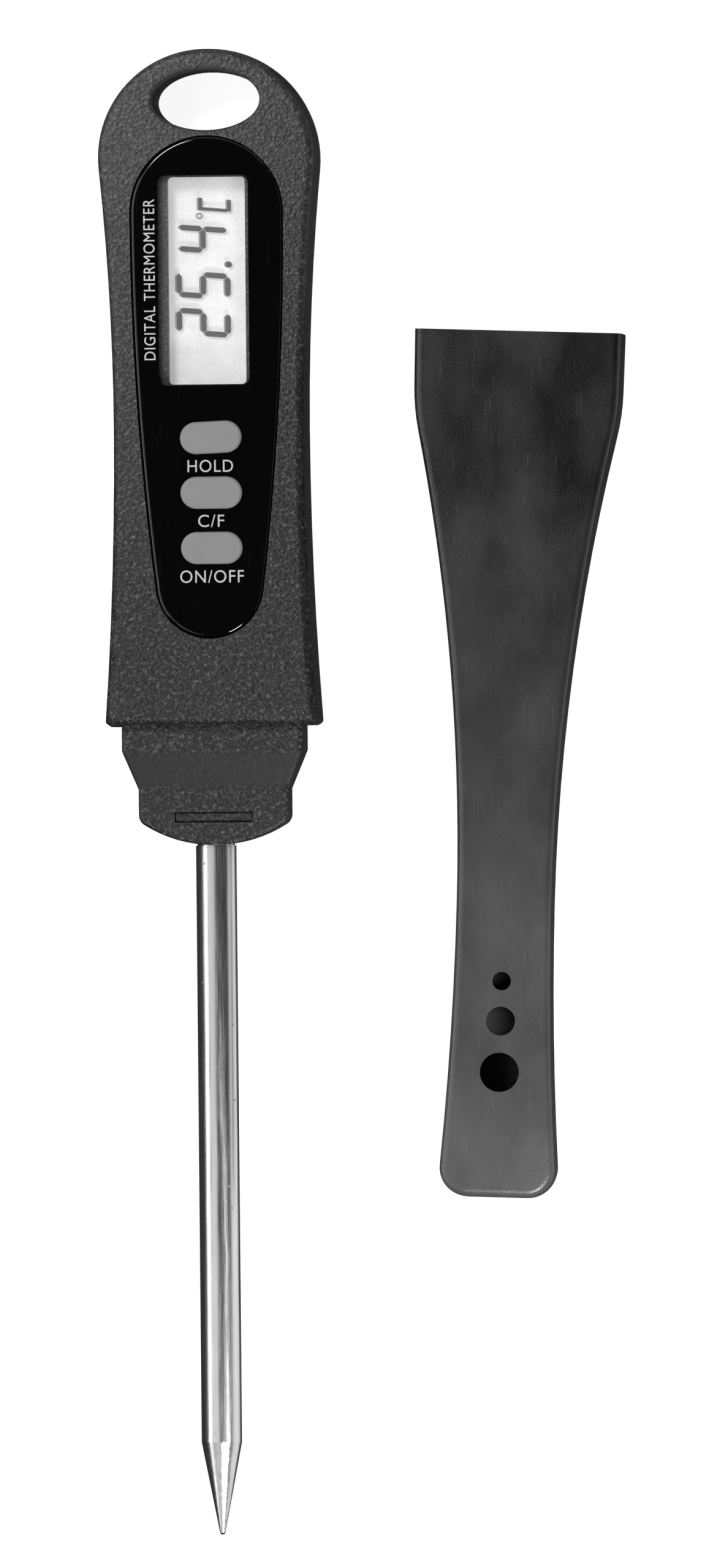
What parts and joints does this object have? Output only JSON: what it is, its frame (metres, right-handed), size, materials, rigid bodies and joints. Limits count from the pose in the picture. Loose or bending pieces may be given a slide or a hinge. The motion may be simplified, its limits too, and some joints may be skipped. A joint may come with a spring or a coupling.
{
  "type": "digital probe thermometer with sheath",
  "caption": "Digital probe thermometer with a slim handle, display and keys, a pointed steel probe, and a waisted protective sheath lying beside it.",
  "frame": {"origin": "centre of the handle's flat back face, on which the thermometer lies", "axes": "+Y along the thermometer from the probe's tip to the hanging hole, +Z out of the display, +X towards the sheath that lies beside it"},
  "size_m": [0.071, 0.2009, 0.0146],
  "materials": {
    "textured_black_plastic": "coarse spark-eroded texture, matte black",
    "smooth_black_plastic": "fine satin black",
    "gloss_black_panel": "polished black",
    "clear_window": "clear acrylic",
    "black_foam": "closed-cell foam",
    "lcd_glass": "clear glass with anti-glare front",
    "lcd_reflector": "fine-grained silver reflector",
    "zebra_rubber": "layered silicone",
    "board_laminate": "green solder mask",
    "screw_steel": "zinc-plated steel",
    "chip_epoxy": "black epoxy",
    "key_rubber": "mid-grey silicone, matte",
    "carbon_pill": "conductive carbon rubber",
    "cell_steel": "nickel-plated can",
    "contact_metal": "nickel-plated spring strip",
    "seal_rubber": "nitrile ring",
    "probe_steel": "drawn stainless steel, ground tip",
    "collar_brass": "turned brass",
    "potting": "white silicone compound",
    "bead_glass": "epoxy-dipped bead",
    "lead_insulation": "thin insulated wire"
  },
  "bodies": {
    "thermometer": {"front_housing": "textured_black_plastic", "back_housing": "textured_black_plastic", "display_panel": "gloss_black_panel", "display_window": "clear_window", "display_gasket": "black_foam", "lcd_glass": "lcd_glass", "lcd_reflector": "lcd_reflector", "zebra_strips": "zebra_rubber", "circuit_board": "board_laminate", "board_screws": "screw_steel", "controller_chip": "chip_epoxy", "board_components": "chip_epoxy", "keypad_sheet": "key_rubber", "battery_cell": "cell_steel", "battery_contact_positive": "contact_metal", "battery_contact_negative": "contact_metal", "probe_tube": "probe_steel", "probe_collar": "collar_brass", "probe_plug": "potting", "thermistor_bead": "bead_glass", "thermistor_leads": "lead_insulation", "tip_filling": "potting"},
    "hold_key": {"key_hold": "key_rubber", "contact_pill_hold": "carbon_pill"},
    "unit_key": {"key_unit": "key_rubber", "contact_pill_unit": "carbon_pill"},
    "power_key": {"key_power": "key_rubber", "contact_pill_power": "carbon_pill"},
    "battery_cover": {"battery_door": "textured_black_plastic", "battery_door_seal": "seal_rubber"},
    "sheath_body": {"sheath": "smooth_black_plastic"}
  },
  "joints": [
    {"name": "hold_key_press", "type": "slide", "parent": "thermometer", "child": "hold_key", "axis": [0, 0, -1], "range_m": [0, 0.0005], "stiffness_N_per_m": 1500},
    {"name": "unit_key_press", "type": "slide", "parent": "thermometer", "child": "unit_key", "axis": [0, 0, -1], "range_m": [0, 0.0005], "stiffness_N_per_m": 1500},
    {"name": "power_key_press", "type": "slide", "parent": "thermometer", "child": "power_key", "axis": [0, 0, -1], "range_m": [0, 0.0005], "stiffness_N_per_m": 1500},
    {"name": "battery_door_twist", "type": "hinge", "parent": "thermometer", "child": "battery_cover", "pos_m": [0, 0.016, 0], "axis": [0, 0, -1], "range_deg": [0, 60]},
    {"name": "sheath_slide", "type": "slide", "parent": "thermometer", "child": "sheath_body", "axis": [-0.0358, -0.9994, 0], "range_m": [0, 0.112]}
  ]
}
